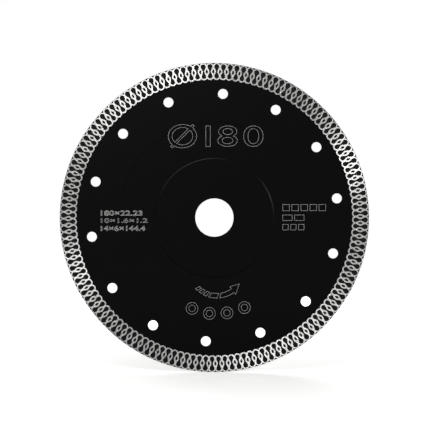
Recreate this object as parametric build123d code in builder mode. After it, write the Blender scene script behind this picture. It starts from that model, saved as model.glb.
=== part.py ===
"""Mesh-rim diamond blade for cutting tile, 180 mm across, with a 22.23 mm bore.

Four pieces, as on the real blade: a steel core with a toothed edge, the sintered diamond
rim pressed round those teeth, and a stiffening plate on each face round the bore.

Frame: +Z is up and the bore runs along Y, with the front face towards -Y. The origin is
on the bore's axis, halfway through the core. Sizes are in millimetres, angles in degrees.
"""

import os
from math import cos, radians, sin

from build123d import *

# Overall sizes
blade_diameter = 180.0
bore_diameter = 22.23

# Steel core
core_thickness = 1.2
core_tooth_depth = 0.7
cooling_hole_count = 14
cooling_hole_diameter = 6.0
cooling_hole_inset = 8.5  # from the tips of the core's teeth to the circle of hole centres
first_cooling_angle = 8.9

# Diamond rim, in cells side by side round the core
rim_height = 10.0  # from the roots of the core's teeth to the cutting edge
rib_height = 0.2  # how far the ribs stand above the core on each face
cell_count = 140
first_cell_angle = 1.67

# Pockets pressed between the ribs: in each cell a long one with a waist, and beside it,
# where two cells overlap, a lozenge
pocket_depth = 0.45
outer_rib_width = 0.6
inner_rib_width = 0.85
end_slope_length = 1.3  # from a long pocket's end to the deepest place beneath it
pocket_outer_width = 2.7
pocket_inner_width = 2.6
waist_width = 0.8
lozenge_width = 1.4
lozenge_length = 2.7

# Stiffening plates
stiffener_diameter = 68.4
stiffener_thickness = 0.3
stiffener_bevel = 0.4  # width of the bevel round its edge

# Worked out from the sizes above
blade_radius = blade_diameter / 2
bore_radius = bore_diameter / 2
rim_inner_radius = blade_radius - rim_height
core_radius = rim_inner_radius + core_tooth_depth
stiffener_radius = stiffener_diameter / 2
core_face = core_thickness / 2
rib_face = core_face + rib_height
stiffener_face = core_face + stiffener_thickness
cell_angle = 360 / cell_count


def polar(radius, angle):
    """A point in the blade's plane."""
    return (radius * cos(radians(angle)), radius * sin(radians(angle)))


def toothed_edge():
    """The seam between core and rim: in at the middle of each cell, and out between cells."""
    points = []
    for cell in range(cell_count):
        angle = first_cell_angle + cell * cell_angle
        points.append(polar(rim_inner_radius, angle))
        points.append(polar(core_radius, angle + cell_angle / 2))
    return points


def across(radius, width):
    """Two points side by side on +X, width apart."""
    return [(radius, -width / 2), (radius, width / 2)]


def hopper(outline, deepest):
    """Cutter with its outline on the ribs' face, and sides that fall to the deepest points."""
    top = [(x, y, rib_face) for x, y in outline]
    bottom = [(x, 0, rib_face - pocket_depth) for x in deepest]
    return ConvexPolyhedron(top + bottom, mode=Mode.PRIVATE)


def cell_cutters():
    """Cutters for the front face of one cell on +X: two for the long pocket, and the lozenge."""
    outer_end = blade_radius - outer_rib_width
    inner_end = rim_inner_radius + inner_rib_width
    outer_deepest = outer_end - end_slope_length
    inner_deepest = inner_end + end_slope_length
    middle = (outer_end + inner_end) / 2
    waist = across(middle, waist_width)
    outer_half = across(outer_end, pocket_outer_width) + waist
    inner_half = [(inner_end, 0)] + across(inner_deepest, pocket_inner_width) + waist
    lozenge = across(middle, lozenge_width)
    lozenge += [(middle - lozenge_length / 2, 0), (middle + lozenge_length / 2, 0)]
    return [
        hopper(outer_half, [outer_deepest, inner_deepest]),
        hopper(inner_half, [inner_deepest]),
        hopper(lozenge, [middle]).rotate(Axis.Z, cell_angle / 2),
    ]


front_cutters = cell_cutters()
back_cutters = [cutter.mirror(Plane.XY) for cutter in front_cutters]

# Steel core: a flat disc with a toothed edge, its bore and its cooling holes
with BuildPart() as steel_core:
    with BuildSketch(Plane.XZ):
        Polygon(*toothed_edge(), align=None)
        Circle(bore_radius, mode=Mode.SUBTRACT)
        with PolarLocations(core_radius - cooling_hole_inset, cooling_hole_count, first_cooling_angle):
            Circle(cooling_hole_diameter / 2, mode=Mode.SUBTRACT)
    extrude(amount=core_face, both=True)

# Diamond rim: a ring round the core's teeth, with pockets pressed into both of its faces
with BuildPart(Plane.XZ) as diamond_rim:
    with BuildSketch(Plane.XZ):
        Circle(blade_radius)
        Polygon(*toothed_edge(), align=None, mode=Mode.SUBTRACT)
    extrude(amount=rib_face, both=True)
    with PolarLocations(0, cell_count, first_cell_angle):
        add(front_cutters + back_cutters, mode=Mode.SUBTRACT)

# Stiffening plates: one turned profile on the back of the core, and its mirror on the front
with BuildPart() as back_stiffener:
    with BuildSketch(Plane.XY):
        with BuildLine():
            Polyline(
                (bore_radius, core_face),
                (stiffener_radius, core_face),
                (stiffener_radius - stiffener_bevel, stiffener_face),
                (bore_radius, stiffener_face),
                close=True,
            )
        make_face()
    revolve(axis=Axis.Y)

with BuildPart() as front_stiffener:
    mirror(back_stiffener.part, about=Plane.XZ)

pieces = {
    "steel_core": steel_core,
    "diamond_rim": diamond_rim,
    "front_stiffener": front_stiffener,
    "back_stiffener": back_stiffener,
}
os.makedirs("parts", exist_ok=True)
for name, piece in pieces.items():
    piece.part.label = name
    export_step(piece.part, f"parts/{name}.step")
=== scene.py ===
"""Mesh-rim diamond blade for cutting tile: its looks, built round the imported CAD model.

The blade stands on its edge, with its bore along Y and its front face towards -Y, as in
the CAD model. Outlines are drawn in the plane of the blade as complex numbers, with X as
the real part and Z as the imaginary part, and lengths are in metres.
"""

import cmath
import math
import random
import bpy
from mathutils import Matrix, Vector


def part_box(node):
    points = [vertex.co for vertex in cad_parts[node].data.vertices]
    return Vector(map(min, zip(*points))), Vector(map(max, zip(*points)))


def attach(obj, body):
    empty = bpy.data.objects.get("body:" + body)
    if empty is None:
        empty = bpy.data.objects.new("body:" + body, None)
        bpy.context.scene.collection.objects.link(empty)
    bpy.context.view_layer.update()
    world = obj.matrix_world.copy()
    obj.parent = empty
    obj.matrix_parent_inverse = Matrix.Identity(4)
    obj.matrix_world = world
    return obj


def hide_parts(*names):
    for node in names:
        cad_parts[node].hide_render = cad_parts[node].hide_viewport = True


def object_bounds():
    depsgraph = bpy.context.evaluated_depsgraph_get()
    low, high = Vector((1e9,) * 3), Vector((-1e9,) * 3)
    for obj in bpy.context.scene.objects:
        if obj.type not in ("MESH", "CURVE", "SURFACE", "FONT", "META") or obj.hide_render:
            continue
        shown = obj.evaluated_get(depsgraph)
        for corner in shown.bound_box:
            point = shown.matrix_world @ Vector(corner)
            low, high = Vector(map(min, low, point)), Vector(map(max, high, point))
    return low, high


bl_info = {
    "name": "Mesh-Rim Diamond Blade",
    "version": (1, 0, 0),
    "blender": (4, 5, 0),
    "location": "View3D > Sidebar > Diamond Blade",
    "description": "Builds a tile-cutting diamond blade and its studio round the packed CAD frame",
    "category": "Object",
}

import bmesh
import bpy
from bpy.props import FloatProperty, FloatVectorProperty, IntProperty, PointerProperty
from mathutils import Matrix, Vector
from mathutils.geometry import delaunay_2d_cdt

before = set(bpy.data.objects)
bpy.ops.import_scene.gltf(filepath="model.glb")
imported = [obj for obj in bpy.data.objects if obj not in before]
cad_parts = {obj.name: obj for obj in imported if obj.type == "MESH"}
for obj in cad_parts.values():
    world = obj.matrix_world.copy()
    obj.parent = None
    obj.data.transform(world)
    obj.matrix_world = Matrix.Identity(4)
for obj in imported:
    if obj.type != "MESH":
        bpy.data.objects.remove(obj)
cad_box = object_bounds()

MM = 0.001

# points round each circle
BORE_POINTS = 128
HOLE_POINTS = 48
PLATE_POINTS = 256
RING_POINTS = 40

# numbers of a piece's finishes, in the order of its materials
ENAMELLED, REAMED = 0, 1
GROUND, PAINTED = 0, 1

# delaunay_2d_cdt's number for triangles inside the outline and outside the holes in it
INSIDE_WITH_HOLES = 2


def node_radii(name):
    """Least and greatest distance of a CAD node's points from the bore's axis."""
    radii = [math.hypot(v.co.x, v.co.z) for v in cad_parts[name].data.vertices]
    return min(radii), max(radii)


BORE_RADIUS = node_radii("steel_core")[0]
RIM_INNER_RADIUS, BLADE_RADIUS = node_radii("diamond_rim")
PLATE_RADIUS = node_radii("front_stiffener")[1]
CORE_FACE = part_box("steel_core")[1].y
RIB_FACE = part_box("diamond_rim")[1].y
PLATE_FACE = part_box("back_stiffener")[1].y


def linear(hex_colour):
    """Linear RGB of an sRGB hex value such as "#8a8a88"."""
    channels = [int(hex_colour[i:i + 2], 16) / 255 for i in (1, 3, 5)]
    return tuple(c / 12.92 if c <= 0.04045 else ((c + 0.055) / 1.055) ** 2.4 for c in channels)


# ---------------------------------------------------------------- sizes and colours


class CoreSizes(bpy.types.PropertyGroup):
    """Sizes of the steel core and of the stiffening plates on it."""

    bore_radius: FloatProperty(
        name="Bore radius", description="Radius of the hole for the spindle",
        default=BORE_RADIUS, unit="LENGTH", precision=5)
    face: FloatProperty(
        name="Core face", description="Height of the core's faces from its middle",
        default=CORE_FACE, unit="LENGTH", precision=5)
    hole_count: IntProperty(
        name="Cooling holes", description="Number of cooling holes in the core", default=14, min=3)
    hole_radius: FloatProperty(
        name="Cooling hole radius", description="Radius of one cooling hole inside its enamel",
        default=2.88 * MM, unit="LENGTH", precision=5)
    hole_circle_radius: FloatProperty(
        name="Cooling hole circle", description="Radius of the circle through the hole centres",
        default=72.2 * MM, unit="LENGTH", precision=5)
    first_hole_angle: FloatProperty(
        name="First cooling hole", description="Angle of the first cooling hole from +X",
        default=math.radians(8.9), subtype="ANGLE", unit="ROTATION")
    hole_rounding: FloatProperty(
        name="Hole rounding", description="Width of the rounded enamel edge round each hole",
        default=0.14 * MM, unit="LENGTH", precision=5)
    bore_rounding: FloatProperty(
        name="Bore rounding", description="Width of the rounded edge of each plate at the bore",
        default=0.12 * MM, unit="LENGTH", precision=5)
    plate_radius: FloatProperty(
        name="Plate radius", description="Radius of the stiffening plates",
        default=PLATE_RADIUS, unit="LENGTH", precision=5)
    plate_face: FloatProperty(
        name="Plate face", description="Height of the plates' faces from the core's middle",
        default=PLATE_FACE, unit="LENGTH", precision=5)
    plate_slope: FloatProperty(
        name="Plate slope", description="Width of the enamelled slope round the edge of each plate",
        default=0.85 * MM, unit="LENGTH", precision=5)
    tension_radius: FloatProperty(
        name="Tension ring", description="Radius of the faint step where the core was rolled to tension it",
        default=55.6 * MM, unit="LENGTH", precision=5)


class RimSizes(bpy.types.PropertyGroup):
    """Sizes of the diamond rim and of the pockets pressed into it."""

    blade_radius: FloatProperty(
        name="Blade radius", description="Radius of the cutting edge",
        default=BLADE_RADIUS, unit="LENGTH", precision=5)
    inner_radius: FloatProperty(
        name="Rim inner radius", description="Radius of the rim's innermost points",
        default=RIM_INNER_RADIUS + 0.2 * MM, unit="LENGTH", precision=5)
    face: FloatProperty(
        name="Rib face", description="Height of the ribs' faces from the core's middle",
        default=RIB_FACE, unit="LENGTH", precision=5)
    edge_rounding: FloatProperty(
        name="Edge rounding", description="Width of the rounding along the cutting edge",
        default=0.2 * MM, unit="LENGTH", precision=5)
    cell_count: IntProperty(
        name="Cells", description="Number of long pockets round the rim", default=140, min=12)
    first_cell_angle: FloatProperty(
        name="First cell", description="Angle of the first long pocket from +X",
        default=math.radians(1.67), subtype="ANGLE", unit="ROTATION")
    scallop_radius: FloatProperty(
        name="Scallop radius", description="Radius of each scallop of the rim's inner edge",
        default=2.25 * MM, unit="LENGTH", precision=5)
    middle_inset: FloatProperty(
        name="Middle inset", description="From the cutting edge to the middle of the pockets",
        default=5.02 * MM, unit="LENGTH", precision=5)
    waist_width: FloatProperty(
        name="Waist width", description="Width of a long pocket at its waist",
        default=0.85 * MM, unit="LENGTH", precision=5)
    outer_bulb_radius: FloatProperty(
        name="Outer bulb radius", description="Radius of a long pocket's outer end",
        default=1.51 * MM, unit="LENGTH", precision=5)
    outer_bulb_reach: FloatProperty(
        name="Outer bulb reach", description="From a pocket's middle to the centre of its outer end",
        default=2.98 * MM, unit="LENGTH", precision=5)
    inner_bulb_radius: FloatProperty(
        name="Inner bulb radius", description="Radius of a long pocket's inner end",
        default=1.39 * MM, unit="LENGTH", precision=5)
    inner_bulb_reach: FloatProperty(
        name="Inner bulb reach", description="From a pocket's middle to the centre of its inner end",
        default=2.76 * MM, unit="LENGTH", precision=5)
    lozenge_width: FloatProperty(
        name="Lozenge width", description="Width of the small pocket between two long ones",
        default=1.38 * MM, unit="LENGTH", precision=5)
    lozenge_length: FloatProperty(
        name="Lozenge length", description="Length of the small pocket along the radius",
        default=2.6 * MM, unit="LENGTH", precision=5)
    notch_width: FloatProperty(
        name="Notch width", description="Width of the V-shaped notches where they run out at the edge",
        default=1.95 * MM, unit="LENGTH", precision=5)
    notch_height: FloatProperty(
        name="Notch height", description="Height of the V-shaped notches along the radius",
        default=1.05 * MM, unit="LENGTH", precision=5)
    notch_depth: FloatProperty(
        name="Notch depth", description="Depth of the V-shaped notches below the ribs' faces",
        default=0.36 * MM, unit="LENGTH", precision=5)
    pocket_depth: FloatProperty(
        name="Pocket depth", description="Depth of the pockets below the ribs' faces",
        default=0.44 * MM, unit="LENGTH", precision=5)
    worn_edge: FloatProperty(
        name="Worn edge", description="Width of the worn edge round each pocket",
        default=0.045 * MM, unit="LENGTH", precision=6)
    grit_size: FloatProperty(
        name="Grit size", description="Usual size of the diamond crystals, 40/50 mesh",
        default=0.34 * MM, unit="LENGTH", precision=5)
    grit_on_ribs: IntProperty(
        name="Crystals on ribs", description="Crystals that show on the ribs of one face",
        default=1100, min=0)
    grit_on_edge: IntProperty(
        name="Crystals on edge", description="Crystals that show on the cutting edge",
        default=900, min=0)


class MarkSizes(bpy.types.PropertyGroup):
    """Sizes of the plain marks etched into the enamel of the front face."""

    line_width: FloatProperty(
        name="Line width", description="Width of an etched line",
        default=0.17 * MM, unit="LENGTH", precision=5)
    bold_line_width: FloatProperty(
        name="Bold line width", description="Width of the lines round the small bold numerals",
        default=0.24 * MM, unit="LENGTH", precision=5)
    line_height: FloatProperty(
        name="Line height", description="How far the burnt enamel stands up along a line",
        default=0.015 * MM, unit="LENGTH", precision=6)
    arrow_radius: FloatProperty(
        name="Arrow radius", description="Radius of the rotation arrow's middle line",
        default=15.7 * MM, unit="LENGTH", precision=5)
    arrow_right: FloatProperty(
        name="Arrow right", description="From the bore's middle across to the centre of the arrow's arc",
        default=1.5 * MM, unit="LENGTH", precision=5)
    arrow_drop: FloatProperty(
        name="Arrow drop", description="From the bore's middle down to the centre of the arrow's arc",
        default=29.8 * MM, unit="LENGTH", precision=5)
    arrow_width: FloatProperty(
        name="Arrow width", description="Width of the rotation arrow's shaft",
        default=2.7 * MM, unit="LENGTH", precision=5)
    tile_gap: FloatProperty(
        name="Tile gap", description="Gap between the plain tiles of a row",
        default=1.4 * MM, unit="LENGTH", precision=5)
    ring_radius: FloatProperty(
        name="Ring radius", description="Radius of the four plain rings under the arrow",
        default=3.45 * MM, unit="LENGTH", precision=5)


class FinishColours(bpy.types.PropertyGroup):
    """Colours of the blade's finishes, and of the floor."""

    enamel: FloatVectorProperty(
        name="Enamel", description="Baked black enamel on the core",
        default=linear("#020202"), size=3, subtype="COLOR", min=0, max=1)
    enamel_cloud: FloatVectorProperty(
        name="Enamel cloud", description="Slightly thinner places in the enamel",
        default=linear("#030303"), size=3, subtype="COLOR", min=0, max=1)
    pocket: FloatVectorProperty(
        name="Pocket", description="Thinly painted grains in the rim's pockets",
        default=linear("#0f0f0f"), size=3, subtype="COLOR", min=0, max=1)
    bond: FloatVectorProperty(
        name="Bond", description="Ground sintered metal of the rim",
        default=linear("#9d9d9c"), size=3, subtype="COLOR", min=0, max=1)
    bond_dark: FloatVectorProperty(
        name="Dark grain", description="Darker grains and pores of the sintered metal",
        default=linear("#6d6d6c"), size=3, subtype="COLOR", min=0, max=1)
    bond_bright: FloatVectorProperty(
        name="Bright grain", description="Brighter grains of the sintered metal",
        default=linear("#cfcfcd"), size=3, subtype="COLOR", min=0, max=1)
    steel: FloatVectorProperty(
        name="Bare steel", description="Reamed steel of the bore",
        default=linear("#8b8a88"), size=3, subtype="COLOR", min=0, max=1)
    diamond: FloatVectorProperty(
        name="Diamond", description="Synthetic diamond crystals",
        default=linear("#c9c7b4"), size=3, subtype="COLOR", min=0, max=1)
    etching: FloatVectorProperty(
        name="Etching", description="Enamel burnt back to grey by the laser",
        default=linear("#9a9a99"), size=3, subtype="COLOR", min=0, max=1)
    floor: FloatVectorProperty(
        name="Floor", description="Pale paper floor of the studio",
        default=linear("#f4f4f2"), size=3, subtype="COLOR", min=0, max=1)


class StudioSizes(bpy.types.PropertyGroup):
    """Camera, lamps and floor of the studio."""

    camera_distance: FloatProperty(
        name="Camera distance", description="From the camera to the blade's middle",
        default=1.2, unit="LENGTH")
    field_width: FloatProperty(
        name="Field width", description="Width that the camera takes in at the blade",
        default=250.5 * MM, unit="LENGTH", precision=4)
    camera_right: FloatProperty(
        name="Camera right", description="How far the camera stands to the right of the bore",
        default=0.36 * MM, unit="LENGTH", precision=5)
    camera_up: FloatProperty(
        name="Camera up", description="How far the camera stands above the bore",
        default=1.49 * MM, unit="LENGTH", precision=5)
    lamp_distance: FloatProperty(
        name="Lamp distance", description="From the lamps to the blade's middle",
        default=1.1, unit="LENGTH")
    small_lamp_size: FloatProperty(
        name="Small lamp size", description="Width of the two small soft boxes",
        default=0.2, unit="LENGTH")
    large_lamp_size: FloatProperty(
        name="Large lamp size", description="Width of the three large soft boxes",
        default=0.36, unit="LENGTH")
    top_lamp_power: FloatProperty(
        name="Top lamp", description="Power of the small soft box above the blade",
        default=3.2, subtype="POWER", unit="POWER")
    left_lamp_power: FloatProperty(
        name="Left lamp", description="Power of the large soft box above the blade and to its left",
        default=4.2, subtype="POWER", unit="POWER")
    side_lamp_power: FloatProperty(
        name="Side lamp", description="Power of the small soft box to the right of the blade",
        default=4.9, subtype="POWER", unit="POWER")
    back_lamp_power: FloatProperty(
        name="Back lamps", description="Power of each of the two soft boxes behind the blade",
        default=5.4, subtype="POWER", unit="POWER")
    room_light: FloatProperty(
        name="Room light", description="Strength of the light from all round, where 1 is white",
        default=0.06, min=0)
    floor_size: FloatProperty(
        name="Floor size", description="Width of the paper floor",
        default=6.0, unit="LENGTH")
    floor_corner: FloatProperty(
        name="Floor corner", description="Radius of the paper floor's corners",
        default=0.4, unit="LENGTH")
    floor_glow: FloatProperty(
        name="Floor glow", description="White that the floor shows besides its own colour, near the blade",
        default=0.45, min=0)
    glow_distance: FloatProperty(
        name="Glow distance", description="From the blade to where the floor is all white",
        default=1.1, unit="LENGTH")


class BladeSettings(bpy.types.PropertyGroup):
    """Everything that can be set on the blade and its studio."""

    core: PointerProperty(type=CoreSizes, name="Core", description="Sizes of the core and plates")
    rim: PointerProperty(type=RimSizes, name="Rim", description="Sizes of the diamond rim")
    marks: PointerProperty(type=MarkSizes, name="Marks", description="Sizes of the etched marks")
    colours: PointerProperty(type=FinishColours, name="Colours", description="Colours of the finishes")
    studio: PointerProperty(type=StudioSizes, name="Studio", description="Camera, lamps and floor")


# ---------------------------------------------------------------- mesh drawing


class Draft:
    """Points, faces and finishes of one piece while its mesh is drawn up."""

    def __init__(self):
        self.points = []
        self.faces = []
        self.finishes = []
        self.smooth = []

    def add(self, points):
        """Adds points and returns their numbers."""
        first = len(self.points)
        self.points += points
        return list(range(first, len(self.points)))

    def ring(self, outline, y):
        """Adds an outline of complex points at one height and returns their numbers."""
        return self.add([(p.real, y, p.imag) for p in outline])

    def face(self, corners, finish=0, smooth=True):
        """Adds one face."""
        self.faces.append(tuple(corners))
        self.finishes.append(finish)
        self.smooth.append(smooth)

    def band(self, ring, next_ring, finish=0, smooth=True):
        """Adds the faces between two closed rings of as many points."""
        for i in range(len(ring)):
            j = (i + 1) % len(ring)
            self.face((ring[i], ring[j], next_ring[j], next_ring[i]), finish, smooth)

    def floor(self, ring, finish):
        """Closes a ring that mirrors itself about the line from its first point to its middle one."""
        last = len(ring)
        half = last // 2
        self.face((ring[0], ring[1], ring[-1]), finish)
        for i in range(1, half - 1):
            self.face((ring[i], ring[i + 1], ring[last - i - 1], ring[last - i]), finish)
        self.face((ring[half - 1], ring[half], ring[half + 1]), finish)

    def flat(self, rings):
        """Adds a flat face with holes, cut into triangles: the first ring is its outline."""
        numbers = [n for ring in rings for n in ring]
        spots = [Vector((self.points[n][0], self.points[n][2])) / MM for n in numbers]
        bounds = []
        first = 0
        for ring in rings:
            bounds.append(list(range(first, first + len(ring))))
            first += len(ring)
        _, _, faces, sources, _, _ = delaunay_2d_cdt(spots, [], bounds, INSIDE_WITH_HOLES, 1e-6)
        for corners in faces:
            self.face([numbers[sources[c][0]] for c in corners], smooth=False)

    def piece(self, name, *makers):
        """Makes the object, with its faces turned outwards and the material of each maker."""
        mesh = bpy.data.meshes.new(name)
        mesh.from_pydata(self.points, [], self.faces)
        mesh.polygons.foreach_set("material_index", self.finishes)
        mesh.polygons.foreach_set("use_smooth", self.smooth)
        bm = bmesh.new()
        bm.from_mesh(mesh)
        bmesh.ops.recalc_face_normals(bm, faces=bm.faces)
        bm.to_mesh(mesh)
        bm.free()
        for maker in makers:
            mesh.materials.append(material_from(maker))
        piece = bpy.data.objects.new(name, mesh)
        bpy.context.scene.collection.objects.link(piece)
        return piece


def circle(radius, count, centre=0):
    """Points of a circle."""
    return [centre + cmath.rect(radius, math.tau * i / count) for i in range(count)]


def arc(radius, start, end, count, centre=0):
    """Points of an arc from one angle to another, both included."""
    return [centre + cmath.rect(radius, start + (end - start) * i / (count - 1)) for i in range(count)]


def rounded(width):
    """Steps (along, down) of a quarter-round edge of that width, from its top to its side."""
    turns = [math.radians(degrees) for degrees in (0, 35, 62, 90)]
    return [(width * (1 - math.sin(turn)), width * (1 - math.cos(turn))) for turn in turns]


# ---------------------------------------------------------------- outlines of the rim


def cell_angles(rim):
    """Angles of the long pockets."""
    step = math.tau / rim.cell_count
    return [rim.first_cell_angle + step * i for i in range(rim.cell_count)]


def scallops(rim, offset):
    """The rim's inner edge: an arc round the inner end of each long pocket, moved in by offset."""
    centre = rim.inner_radius + rim.scallop_radius
    radius = rim.scallop_radius + offset
    half = math.pi / rim.cell_count
    # neighbouring arcs meet halfway between their pockets, at this distance from the bore's axis
    meeting = centre * math.cos(half) - math.sqrt(radius ** 2 - (centre * math.sin(half)) ** 2)
    end = math.asin(meeting * math.sin(half) / radius)
    edge = arc(-radius, end, -end, 10, centre)[:-1]
    return [p * cmath.rect(1, angle) for angle in cell_angles(rim) for p in edge]


def long_pocket_half_width(rim, along):
    """Half of a long pocket's width at a distance outwards from its middle, or 0 past its ends."""
    radius = rim.outer_bulb_radius if along > 0 else rim.inner_bulb_radius
    reach = rim.outer_bulb_reach if along > 0 else rim.inner_bulb_reach
    waist = rim.waist_width / 2
    beyond = abs(along) - reach
    if beyond > 0:
        return math.sqrt(max(radius ** 2 - beyond ** 2, 0))
    t = abs(along) / reach
    return waist + (radius - waist) * t * t * (3 - 2 * t)


def long_pocket(rim):
    """A long pocket's outline from its outer end, as (point, foot): walls lean in to the foot."""
    outer, inner = rim.outer_bulb_radius, rim.inner_bulb_radius
    # places along one side: round the outer end, in to the waist, out again and round the inner end
    stations = [rim.outer_bulb_reach + outer * math.cos(math.radians(a)) for a in (28, 58, 90)]
    stations += [rim.outer_bulb_reach * t for t in (0.78, 0.56, 0.34, 0.14)]
    stations += [-rim.inner_bulb_reach * t for t in (0.12, 0.34, 0.56, 0.78)]
    stations += [-rim.inner_bulb_reach - inner * math.cos(math.radians(a)) for a in (90, 58, 28)]
    side = [complex(x, long_pocket_half_width(rim, x)) for x in stations]
    tip = complex(rim.outer_bulb_reach + outer, 0)
    tail = complex(-rim.inner_bulb_reach - inner, 0)
    outline = [tip, *side, tail, *[p.conjugate() for p in reversed(side)]]
    middle = rim.blade_radius - rim.middle_inset
    feet = [min(max(p.real, -rim.inner_bulb_reach), rim.outer_bulb_reach) for p in outline]
    return [(middle + p, middle + foot) for p, foot in zip(outline, feet)]


def lozenge(rim):
    """A small pocket's outline, a rhombus with rounded sides, as (point, foot)."""
    length, width = rim.lozenge_length / 2, rim.lozenge_width / 2
    count = 18
    power = 2 / 1.5  # 2 / 1 would give a rhombus, and 2 / 2 an ellipse
    outline = []
    for i in range(count):
        x, y = math.cos(math.tau * i / count), math.sin(math.tau * i / count)
        outline.append(complex(
            math.copysign(length * abs(x) ** power, x),
            math.copysign(width * abs(y) ** power, y)))
    middle = rim.blade_radius - rim.middle_inset
    reach = length - width
    return [(middle + p, middle + min(max(p.real, -reach), reach)) for p in outline]


def cutting_edge(rim, side):
    """The rings of points over the cutting edge, and whether each point of a ring is in a notch.

    The rings go from the ribs' face over the corner. In each cell a ring has four points on the
    land between two notches, and then four in a notch, in columns from one side to the other.
    """
    radius, half, deep = rim.blade_radius, rim.notch_width / 2, rim.notch_depth
    apex = radius - rim.notch_height
    wall = 0.16 * MM
    # for the outer and the inner column: (across, out) on the ribs' face, the same at the foot
    # of the notch's wall, and how far across it meets the cutting edge
    columns = [
        ((0.54 * half, radius - 0.5 * rim.notch_height), (0.46 * half, radius - 0.4 * rim.notch_height),
         half - wall),
        ((0.12 * half, apex), (0.1 * half, apex + wall), 0.36 * half),
    ]
    columns += [((-a[0], a[1]), (-b[0], b[1]), -c) for a, b, c in reversed(columns)]
    step = math.tau / rim.cell_count
    notch_turn = math.asin(half / radius)
    rings = []
    for level, (along, down) in enumerate(rounded(rim.edge_rounding)):
        ring = []
        for angle in cell_angles(rim):
            middle = angle + step / 2
            for i in range(4):
                turn = middle - step + notch_turn + (step - 2 * notch_turn) * i / 3
                ring.append((cmath.rect(radius - along, turn), side * (rim.face - down)))
            for face, foot, edge in columns:
                # on the ribs' face, at the wall's foot, and on the floor just short of the edge and at it
                across, out, sunk = (
                    (*face, 0),
                    (*foot, deep * 0.85),
                    (edge, radius - 0.04 * MM, deep),
                    (edge, radius, deep + 0.05 * MM),
                )[level]
                ring.append((complex(out, -across) * cmath.rect(1, middle), side * (rim.face - sunk)))
        rings.append([(point.real, y, point.imag) for point, y in ring])
    return rings, [False, False, False, False, True, True, True, True] * rim.cell_count


def lean_in(point, foot, inset):
    """The point moved towards its foot by inset, but never quite to it."""
    distance = abs(foot - point)
    return point + (foot - point) * min(inset / distance, 0.86)


def on_rib(rim, spot, margin):
    """Whether a spot on the rim's face, as a complex number, lies on a rib."""
    step = math.tau / rim.cell_count
    middle = rim.blade_radius - rim.middle_inset
    # the spot as seen from the middle of its long pocket
    turn = (cmath.phase(spot) - rim.first_cell_angle + step / 2) % step - step / 2
    p = cmath.rect(abs(spot), turn)
    along = p.real - middle
    ends = -rim.inner_bulb_reach - rim.inner_bulb_radius, rim.outer_bulb_reach + rim.outer_bulb_radius
    if ends[0] - margin < along < ends[1] + margin:
        if abs(p.imag) < long_pocket_half_width(rim, along) + margin:
            return False
    # and as seen from the nearest lozenge and notch
    q = cmath.rect(abs(spot), abs(turn) - step / 2)
    across = abs(q.imag) / (rim.lozenge_width / 2 + margin)
    if abs(q.real - middle) / (rim.lozenge_length / 2 + margin) + across < 1.1:
        return False
    past_apex = q.real - rim.blade_radius + rim.notch_height
    if abs(q.imag) < past_apex * rim.notch_width / rim.notch_height / 2 + margin:
        return False
    centre = rim.inner_radius + rim.scallop_radius
    inside = abs(p - centre) < rim.scallop_radius - margin or p.real > centre
    return inside and abs(spot) < rim.blade_radius - margin


# ---------------------------------------------------------------- parts of the rim


def draw_cutting_edge(draft, rim, side):
    """Draws the cutting edge on one side and returns its first and last rings.

    The ribs' faces are ground bright, but the corner and the notches keep their black paint.
    """
    rings, notched = cutting_edge(rim, side)
    rings = [draft.add(points) for points in rings]
    for upper, lower in zip(rings, rings[1:]):
        for i in range(len(upper)):
            j = (i + 1) % len(upper)
            on_land = not (notched[i] or notched[j])
            draft.face((upper[i], upper[j], lower[j], lower[i]), PAINTED, smooth=on_land)
    return rings[0], rings[-1]


def draw_inner_edge(draft, rim, core, side):
    """Draws the scalloped inner edge down to the core and returns its first and last rings."""
    first = ring = draft.ring(scallops(rim, 0), side * rim.face)
    drop = rim.face - core.face
    # (offset, down, finish): the worn edge, the wall, and the enamel run into the corner
    for offset, down, finish in (
        (0.03 * MM, 0.035 * MM, GROUND),
        (0.05 * MM, drop * 0.75, PAINTED),
        (0.13 * MM, drop, PAINTED),
    ):
        lower = draft.ring(scallops(rim, offset), side * (rim.face - down))
        draft.band(ring, lower, finish)
        ring = lower
    seat = draft.ring(scallops(rim, 0), side * core.face)
    draft.band(ring, seat, PAINTED, smooth=False)
    return first, seat


def sink_pockets(draft, rim, side):
    """Sinks the pockets into one face of the rim and returns their rings on that face."""
    wear, depth = rim.worn_edge, rim.pocket_depth
    # (inset, down, finish): the worn edge, the wall, and the round where it meets the floor
    steps = (
        (wear, wear * 0.8, GROUND),
        (0.12 * MM, depth * 0.8, PAINTED),
        (0.17 * MM, depth * 0.95, PAINTED),
        (0.27 * MM, depth, PAINTED),
    )
    mouths = []
    for outline, offset in ((long_pocket(rim), 0), (lozenge(rim), math.pi / rim.cell_count)):
        for angle in cell_angles(rim):
            turn = cmath.rect(1, angle + offset)
            ring = draft.ring([point * turn for point, _ in outline], side * rim.face)
            mouths.append(ring)
            for inset, down, finish in steps:
                points = [lean_in(point, foot, inset) * turn for point, foot in outline]
                lower = draft.ring(points, side * (rim.face - down))
                draft.band(ring, lower, finish)
                ring = lower
            draft.floor(ring, PAINTED)
    return mouths


# ---------------------------------------------------------------- etched lines


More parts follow.
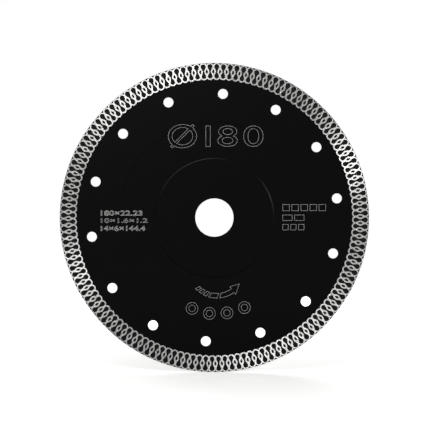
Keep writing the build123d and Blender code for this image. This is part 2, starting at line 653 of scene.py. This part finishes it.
def ribbon(draft, path, width, bottom, top):
    """Adds a raised line round a closed path of complex points."""
    left, right = [], []
    for i, point in enumerate(path):
        before, after = path[i - 1], path[(i + 1) % len(path)]
        into = (point - before) / abs(point - before)
        out = (after - point) / abs(after - point)
        along = into + out
        along = along / abs(along) if abs(along) > 1e-6 else into
        # the line stays as wide on both sides of a corner, but a sharp corner isn't drawn to a spike
        mitre = max((along.conjugate() * into).real, 0.5)
        aside = 1j * along * width / 2 / mitre
        left.append(point + aside)
        right.append(point - aside)
    corners = ((left, bottom), (left, top), (right, top), (right, bottom))
    rings = [draft.ring(points, height) for points, height in corners]
    for ring, next_ring in zip(rings, rings[1:] + rings[:1]):
        draft.band(ring, next_ring, smooth=False)


def numeral_outlines(text, left, low, width, height):
    """Outlines of plain numerals, fitted to a box in the plane of the blade."""
    curve = bpy.data.curves.new("numerals", "FONT")
    curve.body = text
    curve.fill_mode = "NONE"
    curve.resolution_u = 5
    holder = bpy.data.objects.new("numerals", curve)
    bpy.context.scene.collection.objects.link(holder)
    bpy.context.view_layer.update()
    wire = bpy.data.meshes.new_from_object(holder)
    spots = [complex(v.co.x, v.co.y) for v in wire.vertices]
    neighbours = {i: [] for i in range(len(spots))}
    for edge in wire.edges:
        a, b = edge.vertices
        neighbours[a].append(b)
        neighbours[b].append(a)
    bpy.data.objects.remove(holder)
    bpy.data.curves.remove(curve)
    bpy.data.meshes.remove(wire)
    low_x, high_x = min(s.real for s in spots), max(s.real for s in spots)
    low_y, high_y = min(s.imag for s in spots), max(s.imag for s in spots)
    fitted = [
        complex(
            left + (s.real - low_x) * width / (high_x - low_x),
            low + (s.imag - low_y) * height / (high_y - low_y))
        for s in spots
    ]
    outlines = []
    left_over = set(neighbours)
    while left_over:
        path = [min(left_over)]
        left_over.discard(path[0])
        while True:
            onward = [n for n in neighbours[path[-1]] if n in left_over]
            if not onward:
                break
            path.append(onward[0])
            left_over.discard(onward[0])
        outlines.append([fitted[i] for i in path])
    return outlines


def tile_row(gap, count, left, low, width, height):
    """Outlines of a row of plain tiles, side by side."""
    each = (width - gap * (count - 1)) / count
    row = []
    for i in range(count):
        corner = complex(left + i * (each + gap), low)
        row.append([corner, corner + each, corner + complex(each, height), corner + complex(0, height)])
    return row


def arrow_outlines(marks):
    """Outlines of the rotation arrow: a bent shaft with a head, and shorter pieces behind it."""
    outer = marks.arrow_radius + marks.arrow_width / 2
    inner = marks.arrow_radius - marks.arrow_width / 2
    barb = marks.arrow_width * 0.55
    neck, tip, slant = math.radians(-54), math.radians(-34), math.radians(4)
    head = [
        cmath.rect(outer + barb, neck), cmath.rect(marks.arrow_radius, tip), cmath.rect(inner - barb, neck)]
    outlines = []
    for start, end in ((-137.5, -132.5), (-128, -122.5), (-118, -111.5), (-106.5, -90), (-84.5, -54)):
        start, end = math.radians(start), math.radians(end)
        between = head if end == neck else []
        inner_end = end if between else end + slant
        outlines.append(arc(outer, start, end, 9) + between + arc(inner, inner_end, start + slant, 9))
    centre = complex(marks.arrow_right, -marks.arrow_drop)
    return [[centre + p for p in outline] for outline in outlines]


# ---------------------------------------------------------------- materials


def add_node(tree, kind, settings=(), values=(), links=()):
    """Adds a node with its settings, its sockets' values and the links to its sockets."""
    node = tree.nodes.new(kind)
    for name, value in dict(settings).items():
        setattr(node, name, value)
    for name, value in dict(values).items():
        node.inputs[name].default_value = value
    for name, source in dict(links).items():
        tree.links.new(source, node.inputs[name])
    return node


def material_from(maker):
    """The material of a maker, which is a function that adds its nodes and returns its shader.

    It is named after the maker, made when it is first asked for, and then shared.
    """
    name = maker.__name__
    if name in bpy.data.materials:
        return bpy.data.materials[name]
    material = bpy.data.materials.new(name)
    material.use_nodes = True
    tree = material.node_tree
    tree.nodes.clear()
    place = add_node(tree, "ShaderNodeTexCoord").outputs["Object"]
    shader = maker(tree, place, bpy.context.scene.diamond_blade)
    add_node(tree, "ShaderNodeOutputMaterial", links={"Surface": shader.outputs["BSDF"]})
    return material


def rgba(colour):
    """A colour property as the four numbers of a colour socket."""
    return (*colour, 1.0)


def baked_enamel(tree, place, settings):
    """Black baked enamel, sprayed on steel.

    Gives the eye a deep satin black: the flatting powder in it breaks the gloss up, so the
    specular level is low, and the sprayed film keeps a faint orange peel.
    """
    colours, tension_radius = settings.colours, settings.core.tension_radius
    # thicker and thinner places in the sprayed coat, about 12 mm apart
    cloud = add_node(
        tree, "ShaderNodeTexNoise", values={"Scale": 1 / (12 * MM), "Detail": 3.0},
        links={"Vector": place})
    tones = add_node(
        tree, "ShaderNodeMix", {"data_type": "RGBA"},
        {"A": rgba(colours.enamel), "B": rgba(colours.enamel_cloud)}, {"Factor": cloud.outputs["Fac"]})
    # the flatting powder's grains are 0.01 mm, and drawn 0.4 mm so that they show
    powder = add_node(
        tree, "ShaderNodeTexNoise", values={"Scale": 1 / (0.4 * MM), "Detail": 2.0},
        links={"Vector": place})
    gloss = add_node(
        tree, "ShaderNodeMapRange", values={"To Min": 0.2, "To Max": 0.28},
        links={"Value": powder.outputs["Fac"]})
    # orange peel, 1.6 mm from hump to hump
    peel = add_node(
        tree, "ShaderNodeTexNoise", values={"Scale": 1 / (1.6 * MM), "Detail": 1.0},
        links={"Vector": place})
    # the core was rolled to tension it, which leaves a step of 0.05 mm, 2 mm wide, under the enamel
    in_plane = add_node(
        tree, "ShaderNodeVectorMath", {"operation": "MULTIPLY"}, {1: (1.0, 0.0, 1.0)}, {0: place})
    radius = add_node(
        tree, "ShaderNodeVectorMath", {"operation": "LENGTH"}, links={0: in_plane.outputs["Vector"]})
    step = add_node(
        tree, "ShaderNodeMapRange", {"interpolation_type": "SMOOTHSTEP"},
        {"From Min": tension_radius - 1 * MM, "From Max": tension_radius + 1 * MM, "To Max": 0.05 * MM},
        {"Value": radius.outputs["Value"]})
    height = add_node(
        tree, "ShaderNodeMath", {"operation": "MULTIPLY_ADD"}, {1: 0.005 * MM},
        {0: peel.outputs["Fac"], 2: step.outputs["Result"]})
    bump = add_node(
        tree, "ShaderNodeBump", values={"Distance": 1.0}, links={"Height": height.outputs["Value"]})
    return add_node(
        tree, "ShaderNodeBsdfPrincipled", values={"IOR": 1.5, "Specular IOR Level": 0.032},
        links={
            "Base Color": tones.outputs["Result"],
            "Roughness": gloss.outputs["Result"],
            "Normal": bump.outputs["Normal"],
        })


def pocket_paint(tree, place, settings):
    """Black paint, sprayed thinly into the pockets over the raw sintered surface.

    Gives the eye a dull, grainy black, a little paler than the enamel on the smooth core.
    """
    colours = settings.colours
    # grains of the pressed powder are 0.1 mm, and drawn 0.3 mm so that they show
    grain = add_node(
        tree, "ShaderNodeTexNoise", values={"Scale": 1 / (0.3 * MM), "Detail": 2.0},
        links={"Vector": place})
    tones = add_node(
        tree, "ShaderNodeMix", {"data_type": "RGBA"},
        {"A": rgba(colours.enamel), "B": rgba(colours.pocket)}, {"Factor": grain.outputs["Fac"]})
    bump = add_node(
        tree, "ShaderNodeBump", values={"Strength": 0.6, "Distance": 0.05 * MM},
        links={"Height": grain.outputs["Fac"]})
    return add_node(
        tree, "ShaderNodeBsdfPrincipled", values={"Roughness": 0.5, "Specular IOR Level": 0.05},
        links={"Base Color": tones.outputs["Result"], "Normal": bump.outputs["Normal"]})


def sintered_bond(tree, place, settings):
    """Sintered cobalt-bronze bond, pressed with diamond grit and ground flat with a cup wheel.

    Gives the eye a grainy grey metal with fine lines round the blade, so that a lamp shows as
    a bright fan across the rim, turned towards it.
    """
    colours = settings.colours
    parts = add_node(tree, "ShaderNodeSeparateXYZ", links={"Vector": place})
    in_plane = add_node(
        tree, "ShaderNodeVectorMath", {"operation": "MULTIPLY"}, {1: (1.0, 0.0, 1.0)}, {0: place})
    radius = add_node(
        tree, "ShaderNodeVectorMath", {"operation": "LENGTH"}, links={0: in_plane.outputs["Vector"]})
    angle = add_node(
        tree, "ShaderNodeMath", {"operation": "ARCTAN2"},
        links={0: parts.outputs["Z"], 1: parts.outputs["X"]})
    # one radian, or 85 mm along the rim, counts as 4 mm, so that a grinding line is 5 mm long
    along = add_node(
        tree, "ShaderNodeMath", {"operation": "MULTIPLY"}, {1: 4 * MM}, {0: angle.outputs["Value"]})
    polar = add_node(
        tree, "ShaderNodeCombineXYZ",
        links={"X": radius.outputs["Value"], "Y": along.outputs["Value"], "Z": parts.outputs["Y"]})
    # grinding lines are 0.05 mm apart on the real rim, and drawn 0.25 mm apart so that they show
    lines = add_node(
        tree, "ShaderNodeTexNoise", values={"Scale": 1 / (0.25 * MM), "Detail": 2.0},
        links={"Vector": polar.outputs["Vector"]})
    # grains of the pressed powder are 0.1 mm, and drawn 0.45 mm so that they show
    grain = add_node(
        tree, "ShaderNodeTexNoise", values={"Scale": 1 / (0.45 * MM), "Detail": 2.0, "Roughness": 0.6},
        links={"Vector": place})
    tones = add_node(tree, "ShaderNodeValToRGB", links={"Fac": grain.outputs["Fac"]})
    ramp = tones.color_ramp
    ramp.elements[0].position = 0.32
    ramp.elements[0].color = rgba(colours.bond_dark)
    ramp.elements[1].position = 0.68
    ramp.elements[1].color = rgba(colours.bond_bright)
    ramp.elements.new(0.5).color = rgba(colours.bond)
    gloss = add_node(
        tree, "ShaderNodeMapRange",
        values={"From Min": 0.3, "From Max": 0.7, "To Min": 0.36, "To Max": 0.46},
        links={"Value": grain.outputs["Fac"]})
    heights = add_node(
        tree, "ShaderNodeMath", {"operation": "ADD"},
        links={0: lines.outputs["Fac"], 1: grain.outputs["Fac"]})
    bump = add_node(
        tree, "ShaderNodeBump", values={"Strength": 0.5, "Distance": 0.02 * MM},
        links={"Height": heights.outputs["Value"]})
    round_the_bore = add_node(tree, "ShaderNodeTangent", {"direction_type": "RADIAL", "axis": "Y"})
    return add_node(
        tree, "ShaderNodeBsdfPrincipled",
        values={"Metallic": 1.0, "Anisotropic": 1.0, "Anisotropic Rotation": 0.25},
        links={
            "Base Color": tones.outputs["Color"],
            "Roughness": gloss.outputs["Result"],
            "Normal": bump.outputs["Normal"],
            "Tangent": round_the_bore.outputs["Tangent"],
        })


def reamed_steel(tree, place, settings):
    """Bare tool steel, reamed to size after the enamel was baked.

    Gives the eye a thin bright ring inside the bore, with fine lines round it.
    """
    # the reamer's lines are 0.1 mm apart along the bore
    stretched = add_node(
        tree, "ShaderNodeMapping", values={"Scale": (0.05, 1.0, 0.05)}, links={"Vector": place})
    lines = add_node(
        tree, "ShaderNodeTexNoise", values={"Scale": 1 / (0.1 * MM), "Detail": 2.0},
        links={"Vector": stretched.outputs["Vector"]})
    bump = add_node(
        tree, "ShaderNodeBump", values={"Strength": 0.3, "Distance": 0.01 * MM},
        links={"Height": lines.outputs["Fac"]})
    gloss = add_node(
        tree, "ShaderNodeMapRange", values={"To Min": 0.2, "To Max": 0.4},
        links={"Value": lines.outputs["Fac"]})
    return add_node(
        tree, "ShaderNodeBsdfPrincipled",
        values={"Base Color": rgba(settings.colours.steel), "Metallic": 1.0},
        links={"Roughness": gloss.outputs["Result"], "Normal": bump.outputs["Normal"]})


def diamond_crystal(tree, place, settings):
    """Synthetic diamond, grown as small crystals and held in the bond.

    Gives the eye pale yellow-grey sparks: a diamond bends light strongly, so its IOR is high.
    """
    colours = settings.colours
    # one crystal is clearer than the next, so the tone changes about every 0.4 mm
    tint = add_node(
        tree, "ShaderNodeTexNoise", values={"Scale": 1 / (0.4 * MM)}, links={"Vector": place})
    tones = add_node(
        tree, "ShaderNodeMix", {"data_type": "RGBA"},
        {"A": rgba(colours.bond_dark), "B": rgba(colours.diamond)}, {"Factor": tint.outputs["Fac"]})
    return add_node(
        tree, "ShaderNodeBsdfPrincipled", values={"IOR": 2.42, "Roughness": 0.12},
        links={"Base Color": tones.outputs["Result"]})


def laser_etching(tree, place, settings):
    """Enamel burnt back to pale grey by a laser.

    Gives the eye thin, matt, slightly uneven grey lines.
    """
    colours = settings.colours
    # the laser's spots are 0.05 mm, and their unevenness is drawn 0.5 mm wide so that it shows
    spots = add_node(
        tree, "ShaderNodeTexNoise", values={"Scale": 1 / (0.5 * MM), "Detail": 2.0},
        links={"Vector": place})
    burn = add_node(
        tree, "ShaderNodeMapRange",
        values={"From Min": 0.3, "From Max": 0.6, "To Min": 0.45, "To Max": 1.0},
        links={"Value": spots.outputs["Fac"]})
    tones = add_node(
        tree, "ShaderNodeMix", {"data_type": "RGBA"},
        {"A": rgba(colours.enamel), "B": rgba(colours.etching)}, {"Factor": burn.outputs["Result"]})
    return add_node(
        tree, "ShaderNodeBsdfPrincipled", values={"Roughness": 0.75, "Specular IOR Level": 0.2},
        links={"Base Color": tones.outputs["Result"]})


def rays_that_see_white(tree):
    """A socket that is 1 for rays from the camera, from a reflection or through glass, else 0."""
    rays = add_node(tree, "ShaderNodeLightPath")
    seen = rays.outputs["Is Camera Ray"]
    for name in ("Is Glossy Ray", "Is Transmission Ray"):
        either = add_node(
            tree, "ShaderNodeMath", {"operation": "MAXIMUM"}, links={0: seen, 1: rays.outputs[name]})
        seen = either.outputs["Value"]
    return seen


def paper_floor(tree, place, settings):
    """White background paper.

    Gives the eye an even white floor that still holds the blade's shadow.
    """
    studio = settings.studio
    # the paper's fibres are 0.3 mm wide, and drawn 2 mm wide so that they show
    fibres = add_node(
        tree, "ShaderNodeTexNoise", values={"Scale": 1 / (2 * MM), "Detail": 2.0},
        links={"Vector": place})
    bump = add_node(
        tree, "ShaderNodeBump", values={"Strength": 0.05, "Distance": 0.1 * MM},
        links={"Height": fibres.outputs["Fac"]})
    # the lamps' light fades away from the blade, so further out the paper shows white of its own
    away = add_node(tree, "ShaderNodeVectorMath", {"operation": "LENGTH"}, links={0: place})
    white = add_node(
        tree, "ShaderNodeMapRange", {"interpolation_type": "SMOOTHSTEP"},
        {"From Min": 0.3, "From Max": studio.glow_distance, "To Min": studio.floor_glow, "To Max": 1.0},
        {"Value": away.outputs["Value"]})
    glow = add_node(
        tree, "ShaderNodeMath", {"operation": "MULTIPLY"},
        links={0: white.outputs["Result"], 1: rays_that_see_white(tree)})
    return add_node(
        tree, "ShaderNodeBsdfPrincipled",
        values={
            "Base Color": rgba(settings.colours.floor),
            "Roughness": 0.9,
            "Specular IOR Level": 0.1,
            "Emission Color": (1.0, 1.0, 1.0, 1.0),
        },
        links={"Normal": bump.outputs["Normal"], "Emission Strength": glow.outputs["Value"]})


# ---------------------------------------------------------------- studio


def lay_floor(size, corner):
    """Lays the paper floor under the blade, as a square sheet with rounded corners."""
    half = size / 2
    outline = []
    for x, y, start in ((1, 1, 0), (-1, 1, 90), (-1, -1, 180), (1, -1, 270)):
        centre = complex(x * (half - corner), y * (half - corner))
        outline += arc(corner, math.radians(start), math.radians(start + 90), 8, centre)
    sheet = bpy.data.meshes.new("paper_floor")
    sheet.from_pydata([(p.real, p.imag, cad_box[0].z) for p in outline], [], [range(len(outline))])
    sheet.materials.append(material_from(paper_floor))
    floor = bpy.data.objects.new("paper_floor", sheet)
    bpy.context.scene.collection.objects.link(floor)


def light_room(room_light):
    """Lights the blade a little from all round, and shows white to the eye and in reflections."""
    world = bpy.data.worlds.new("white_room")
    world.use_nodes = True
    tree = world.node_tree
    tree.nodes.clear()
    strength = add_node(
        tree, "ShaderNodeMapRange", values={"To Min": room_light, "To Max": 1.0},
        links={"Value": rays_that_see_white(tree)})
    light = add_node(
        tree, "ShaderNodeBackground", values={"Color": (1.0, 1.0, 1.0, 1.0)},
        links={"Strength": strength.outputs["Result"]})
    add_node(tree, "ShaderNodeOutputWorld", links={"Surface": light.outputs["Background"]})
    bpy.context.scene.world = world


def hang_lamp(name, towards, distance, size, power):
    """Hangs a round soft box in a direction from the blade's middle, turned to face it."""
    data = bpy.data.lights.new(name, "AREA")
    data.shape = "DISK"
    data.size = size
    data.energy = power
    lamp = bpy.data.objects.new(name, data)
    lamp.location = towards * distance
    lamp.rotation_euler = towards.to_track_quat("Z", "Y").to_euler()
    lamp.visible_camera = False
    bpy.context.scene.collection.objects.link(lamp)


def place_camera(studio):
    """Places the camera straight in front of the blade, turned along +Y."""
    data = bpy.data.cameras.new("front_camera")
    data.sensor_width = 36.0
    data.lens = data.sensor_width * studio.camera_distance / studio.field_width
    data.clip_start = 0.01
    data.clip_end = 50.0
    camera = bpy.data.objects.new("front_camera", data)
    camera.location = (studio.camera_right, -studio.camera_distance, studio.camera_up)
    camera.rotation_euler = (math.pi / 2, 0, 0)
    bpy.context.scene.collection.objects.link(camera)
    bpy.context.scene.camera = camera


# ---------------------------------------------------------------- operators


class BLADE_OT_core(bpy.types.Operator):
    """Build the steel core with its bore and cooling holes"""

    bl_idname = "blade.core"
    bl_label = "Steel Core"

    def execute(self, context):
        core, rim = context.scene.diamond_blade.core, context.scene.diamond_blade.rim
        draft = Draft()
        halves = []
        for side in (-1, 1):
            edge = draft.ring(scallops(rim, 0), side * core.face)
            bore = draft.ring(circle(core.bore_radius, BORE_POINTS), side * core.face)
            mouths, walls = [], []
            for i in range(core.hole_count):
                centre = cmath.rect(
                    core.hole_circle_radius, core.first_hole_angle + math.tau * i / core.hole_count)
                rings = []
                for along, down in rounded(core.hole_rounding):
                    hole = circle(core.hole_radius + along, HOLE_POINTS, centre)
                    rings.append(draft.ring(hole, side * (core.face - down)))
                for ring, next_ring in zip(rings, rings[1:]):
                    draft.band(ring, next_ring, ENAMELLED)
                mouths.append(rings[0])
                walls.append(rings[-1])
            draft.flat([edge, bore, *mouths])
            halves.append((edge, bore, walls))
        (front_edge, front_bore, front_walls), (back_edge, back_bore, back_walls) = halves
        draft.band(front_edge, back_edge, ENAMELLED, smooth=False)
        draft.band(front_bore, back_bore, REAMED)
        for front_wall, back_wall in zip(front_walls, back_walls):
            draft.band(front_wall, back_wall, ENAMELLED)
        piece = draft.piece("enamelled_core", baked_enamel, reamed_steel)
        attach(piece, "root")
        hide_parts("steel_core")
        return {"FINISHED"}


class BLADE_OT_plates(bpy.types.Operator):
    """Build the stiffening plate on each face of the core"""

    bl_idname = "blade.plates"
    bl_label = "Stiffening Plates"

    def execute(self, context):
        core = context.scene.diamond_blade.core
        height, thickness = core.plate_face, core.plate_face - core.face
        profile = [(core.bore_radius, core.face)]
        for along, down in reversed(rounded(core.bore_rounding)):
            profile.append((core.bore_radius + along, height - down))
        bare = len(profile) - 2  # the bore's wall and most of its rounding are reamed bare
        # (along, down) as shares of the slope: the enamel fills the corner with the core, so the
        # plate's edge is a soft slope and not a step
        for along, down in (
            (0, 0), (0.08, 0.02), (0.18, 0.07), (0.76, 0.4), (0.85, 0.51), (0.93, 0.72), (1, 1)
        ):
            profile.append((core.plate_radius + core.plate_slope * along, height - thickness * down))
        for side, name, node in (
            (-1, "front_plate", "front_stiffener"),
            (1, "back_plate", "back_stiffener"),
        ):
            draft = Draft()
            rings = [draft.ring(circle(radius, PLATE_POINTS), side * y) for radius, y in profile]
            for i, ring in enumerate(rings):
                after = (i + 1) % len(rings)
                level = profile[i][1] == profile[after][1]
                draft.band(ring, rings[after], REAMED if i < bare else ENAMELLED, smooth=not level)
            piece = draft.piece(name, baked_enamel, reamed_steel)
            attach(piece, "root")
            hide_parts(node)
        return {"FINISHED"}


class BLADE_OT_rim(bpy.types.Operator):
    """Build the diamond rim with its mesh of ribs and pockets"""

    bl_idname = "blade.rim"
    bl_label = "Diamond Rim"

    def execute(self, context):
        rim, core = context.scene.diamond_blade.rim, context.scene.diamond_blade.core
        draft = Draft()
        seams = []
        for side in (-1, 1):
            outer, outer_seam = draw_cutting_edge(draft, rim, side)
            inner, inner_seam = draw_inner_edge(draft, rim, core, side)
            draft.flat([outer, inner, *sink_pockets(draft, rim, side)])
            seams.append((outer_seam, inner_seam))
        (front_outer, front_inner), (back_outer, back_inner) = seams
        draft.band(front_outer, back_outer, GROUND)
        draft.band(front_inner, back_inner, PAINTED, smooth=False)
        piece = draft.piece("mesh_rim", sintered_bond, pocket_paint)
        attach(piece, "root")
        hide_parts("diamond_rim")
        return {"FINISHED"}


class BLADE_OT_grit(bpy.types.Operator):
    """Set the diamond crystals into the ribs and the cutting edge"""

    bl_idname = "blade.grit"
    bl_label = "Diamond Grit"

    def execute(self, context):
        rim = context.scene.diamond_blade.rim
        dice = random.Random(4050)
        # where each crystal sits, and which way is out of the metal there
        seats = []
        for side in (-1, 1):
            wanted = len(seats) + rim.grit_on_ribs
            while len(seats) < wanted:
                spot = cmath.rect(
                    dice.uniform(rim.inner_radius, rim.blade_radius), dice.uniform(0, math.tau))
                if on_rib(rim, spot, rim.grit_size * 0.45):
                    seats.append((Vector((spot.real, side * rim.face, spot.imag)), Vector((0, side, 0))))
        for _ in range(rim.grit_on_edge):
            spot = cmath.rect(rim.blade_radius, dice.uniform(0, math.tau))
            height = dice.uniform(-1, 1) * (rim.face - rim.notch_depth - rim.edge_rounding)
            outward = Vector((spot.real, 0, spot.imag)).normalized()
            seats.append((Vector((spot.real, height, spot.imag)), outward))
        # an octahedron, the shape that a diamond grows in
        corners = [(1, 0, 0), (-1, 0, 0), (0, 1, 0), (0, -1, 0), (0, 0, 1), (0, 0, -1)]
        sides = [(0, 2, 4), (2, 1, 4), (1, 3, 4), (3, 0, 4), (2, 0, 5), (1, 2, 5), (3, 1, 5), (0, 3, 5)]
        draft = Draft()
        for seat, outward in seats:
            half = rim.grit_size / 2 * dice.uniform(0.65, 1.1)
            turn = dice.uniform(0, math.tau)
            axis = Vector([dice.gauss(0, 1) for _ in range(3)])
            turned = Matrix.Rotation(turn, 3, axis)
            centre = seat - outward * half * dice.uniform(0.25, 0.5)
            numbers = draft.add([tuple(centre + turned @ (Vector(c) * half)) for c in corners])
            for face in sides:
                draft.face([numbers[c] for c in face], smooth=False)
        piece = draft.piece("diamond_grit", diamond_crystal)
        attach(piece, "root")
        return {"FINISHED"}


class BLADE_OT_marks(bpy.types.Operator):
    """Etch the plain numerals, tiles, rings and rotation arrow into the front face"""

    bl_idname = "blade.marks"
    bl_label = "Etched Marks"

    def execute(self, context):
        marks, core = context.scene.diamond_blade.marks, context.scene.diamond_blade.core
        # what each line holds, and its left end, foot, width and height in millimetres
        numerals = {
            "etched_diameter": (
                ("Ø", (-26.9, 40.6, 16.6, 13.6)),
                ("1", (-5.0, 41.4, 2.6, 12.0)),
                ("8", (2.0, 41.4, 11.4, 12.0)),
                ("0", (17.0, 41.4, 11.4, 12.0))),
            "etched_sizes": (
                ("180×22.23", (-66.0, 1.2, 24.0, 2.8)),
                ("14×6×144.4", (-66.0, -7.7, 25.6, 2.8))),
            "etched_heights": (("10×1.6×1.2", (-66.0, -3.0, 27.0, 2.5)),),
        }
        tiles = (
            (5, (39.8, 4.0, 25.0, 3.6)),
            (2, (39.8, -1.7, 12.4, 3.2)),
            (3, (39.8, -7.2, 12.4, 3.2)))
        centres = ((-13.0, -52.9), (-2.9, -55.8), (7.3, -55.5), (17.5, -52.4))
        groups = {
            name: [
                outline for text, box in lines
                for outline in numeral_outlines(text, *(length * MM for length in box))]
            for name, lines in numerals.items()
        }
        groups["etched_tiles"] = [
            outline for count, box in tiles
            for outline in tile_row(marks.tile_gap, count, *(length * MM for length in box))]
        groups["rotation_arrow"] = arrow_outlines(marks)
        groups["etched_rings"] = [
            circle(radius, RING_POINTS, complex(x * MM, z * MM))
            for x, z in centres for radius in (marks.ring_radius, marks.ring_radius * 0.55)]
        bottom, top = -core.face + marks.line_height * 0.5, -core.face - marks.line_height
        for name, outlines in groups.items():
            draft = Draft()
            width = marks.bold_line_width if name == "etched_sizes" else marks.line_width
            for outline in outlines:
                ribbon(draft, outline, width, bottom, top)
            piece = draft.piece(name, laser_etching)
            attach(piece, "root")
        return {"FINISHED"}


class BLADE_OT_stage(bpy.types.Operator):
    """Set up the floor, the room light, the lamps and the camera"""

    bl_idname = "blade.stage"
    bl_label = "Studio"

    def execute(self, context):
        studio = context.scene.diamond_blade.studio
        lay_floor(studio.floor_size, studio.floor_corner)
        light_room(studio.room_light)
        small, large = studio.small_lamp_size, studio.large_lamp_size
        # degrees round from +X and off the bore's axis, -1 in front or 1 behind, width and power
        for name, azimuth, lean, front, size, power in (
            ("top_softbox", 101, 24, -1, small, studio.top_lamp_power),
            ("left_softbox", 128, 24, -1, large, studio.left_lamp_power),
            ("side_softbox", 22, 33, -1, small, studio.side_lamp_power),
            ("back_top_softbox", 64, 24, 1, large, studio.back_lamp_power),
            ("back_side_softbox", 159, 29, 1, large, studio.back_lamp_power),
        ):
            turn, tilt = math.radians(azimuth), math.radians(lean)
            towards = Vector((
                math.sin(tilt) * math.cos(turn), front * math.cos(tilt), math.sin(tilt) * math.sin(turn)))
            hang_lamp(name, towards, studio.lamp_distance, size, power)
        place_camera(studio)
        context.scene.view_settings.view_transform = "Standard"
        return {"FINISHED"}


class BLADE_PT_panel(bpy.types.Panel):
    """Sidebar panel with the blade's operators and settings"""

    bl_idname = "BLADE_PT_panel"
    bl_label = "Diamond Blade"
    bl_space_type = "VIEW_3D"
    bl_region_type = "UI"
    bl_category = "Diamond Blade"

    def draw(self, context):
        layout = self.layout
        for operator in OPERATORS:
            layout.operator(operator.bl_idname)
        settings = context.scene.diamond_blade
        for group in (settings.core, settings.rim, settings.marks, settings.colours, settings.studio):
            box = layout.box()
            box.label(text=group.bl_rna.name)
            for name in group.bl_rna.properties.keys():
                if name not in {"rna_type", "name"}:
                    box.prop(group, name)


OPERATORS = (
    BLADE_OT_core,
    BLADE_OT_plates,
    BLADE_OT_rim,
    BLADE_OT_grit,
    BLADE_OT_marks,
    BLADE_OT_stage,
)
CLASSES = (
    CoreSizes,
    RimSizes,
    MarkSizes,
    FinishColours,
    StudioSizes,
    BladeSettings,
    *OPERATORS,
    BLADE_PT_panel,
)


def register():
    """Registers the classes and gives each scene its settings."""
    for each in CLASSES:
        bpy.utils.register_class(each)
    bpy.types.Scene.diamond_blade = PointerProperty(
        type=BladeSettings, name="Diamond blade", description="Sizes and colours of the diamond blade")


def unregister():
    """Takes the settings and classes away again."""
    del bpy.types.Scene.diamond_blade
    for each in reversed(CLASSES):
        bpy.utils.unregister_class(each)


def main():
    """Builds every piece and the studio."""
    register()
    bpy.ops.blade.core()
    bpy.ops.blade.plates()
    bpy.ops.blade.rim()
    bpy.ops.blade.grit()
    bpy.ops.blade.marks()
    bpy.ops.blade.stage()


if __name__ == "__main__":
    main()
